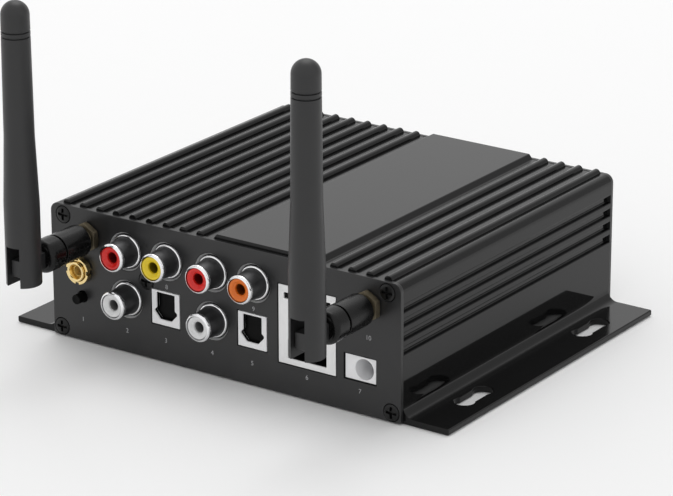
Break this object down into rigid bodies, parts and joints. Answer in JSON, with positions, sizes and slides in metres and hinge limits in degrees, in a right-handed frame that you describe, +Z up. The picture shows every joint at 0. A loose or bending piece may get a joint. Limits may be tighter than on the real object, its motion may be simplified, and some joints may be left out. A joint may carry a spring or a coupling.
{
  "type": "network audio receiver",
  "caption": "Small black ribbed aluminium audio receiver box with a panel of phono, optical, network and power sockets, keyhole flanges and hinged antennas.",
  "frame": {"origin": "centre of the housing's flat underside", "axes": "+Z up, -Y out of the connector panel, X along the connector panel from the trigger jack (-X) to the power socket (+X)"},
  "size_m": [0.1492, 0.1446, 0.1083],
  "materials": {
    "housing_black": "black anodised extrusion, semi-gloss",
    "panel_black": "satin black",
    "screw_black": "black oxide, semi-gloss",
    "antenna_black": "fine matte moulding",
    "black_plastic": "matte",
    "shutter_plastic": "satin",
    "grey_plastic": "satin light grey",
    "grey_metal": "satin nickel",
    "chrome": "polished nickel",
    "steel": "plain",
    "gold_plate": "gold plated",
    "dull_brass": "dull",
    "board_green": "solder mask",
    "red_plastic": "satin",
    "yellow_plastic": "satin",
    "orange_plastic": "satin",
    "white_plastic": "satin"
  },
  "bodies": {
    "root": {"connector_panel": "panel_black", "connector_panel_screw_1": "screw_black", "connector_panel_screw_2": "screw_black", "connector_panel_screw_3": "screw_black", "connector_panel_screw_4": "screw_black", "dc_jack_body": "grey_plastic", "dc_jack_pin": "chrome", "filter_capacitor": "black_plastic", "front_panel": "panel_black", "front_panel_screw_1": "screw_black", "front_panel_screw_2": "screw_black", "front_panel_screw_3": "screw_black", "front_panel_screw_4": "screw_black", "housing": "housing_black", "lan_contact_block": "black_plastic", "lan_usb_shield": "grey_metal", "left_antenna_bulkhead": "dull_brass", "left_antenna_coupling": "antenna_black", "left_antenna_lead": "black_plastic", "left_antenna_nut": "dull_brass", "main_board": "board_green", "optical_in_frame": "grey_plastic", "optical_out_frame": "grey_plastic", "phono_block_left": "black_plastic", "phono_block_right": "black_plastic", "phono_block_screw": "screw_black", "phono_insert_1": "red_plastic", "phono_insert_2": "yellow_plastic", "phono_insert_3": "white_plastic", "phono_insert_4": "red_plastic", "phono_insert_5": "orange_plastic", "phono_insert_6": "white_plastic", "phono_shell_1": "chrome", "phono_shell_2": "chrome", "phono_shell_3": "chrome", "phono_shell_4": "chrome", "phono_shell_5": "chrome", "phono_shell_6": "chrome", "power_inductor": "black_plastic", "processor": "black_plastic", "reset_switch_body": "black_plastic", "right_antenna_bulkhead": "dull_brass", "right_antenna_coupling": "antenna_black", "right_antenna_lead": "black_plastic", "right_antenna_nut": "dull_brass", "trigger_jack_body": "gold_plate", "trigger_jack_nut": "gold_plate", "usb_tongue": "black_plastic", "wireless_module": "steel"},
    "left_swivel": {"left_antenna_knuckle": "antenna_black", "left_antenna_hinge_pin": "steel"},
    "left_blade": {"left_antenna_blade": "antenna_black"},
    "right_swivel": {"right_antenna_knuckle": "antenna_black", "right_antenna_hinge_pin": "steel"},
    "right_blade": {"right_antenna_blade": "antenna_black"},
    "reset_button": {"reset_button": "black_plastic"},
    "optical_in_shutter": {"optical_in_shutter": "shutter_plastic"},
    "optical_out_shutter": {"optical_out_shutter": "shutter_plastic"}
  },
  "joints": [
    {"name": "left_antenna_swivel", "type": "hinge", "parent": "root", "child": "left_swivel", "pos_m": [-0.0466, -0.0708, 0.0324], "axis": [0, 1, 0], "range_deg": [-90, 30]},
    {"name": "left_antenna_tilt", "type": "hinge", "parent": "left_swivel", "child": "left_blade", "pos_m": [-0.0466, -0.0838, 0.0324], "axis": [1, 0, 0], "range_deg": [0, 90]},
    {"name": "right_antenna_swivel", "type": "hinge", "parent": "root", "child": "right_swivel", "pos_m": [0.0495, -0.0708, 0.0324], "axis": [0, 1, 0], "range_deg": [-30, 90]},
    {"name": "right_antenna_tilt", "type": "hinge", "parent": "right_swivel", "child": "right_blade", "pos_m": [0.0495, -0.0838, 0.0324], "axis": [1, 0, 0], "range_deg": [0, 90]},
    {"name": "reset_press", "type": "slide", "parent": "root", "child": "reset_button", "axis": [0, 1, 0], "range_m": [0, 0.0003], "stiffness_N_per_m": 400},
    {"name": "optical_in_shutter_hinge", "type": "hinge", "parent": "root", "child": "optical_in_shutter", "pos_m": [-0.0194, -0.0537, 0.02005], "axis": [1, 0, 0], "range_deg": [0, 80], "stiffness_Nm_per_rad": 0.0003},
    {"name": "optical_out_shutter_hinge", "type": "hinge", "parent": "root", "child": "optical_out_shutter", "pos_m": [0.01065, -0.0537, 0.02005], "axis": [1, 0, 0], "range_deg": [0, 80], "stiffness_Nm_per_rad": 0.0003}
  ]
}
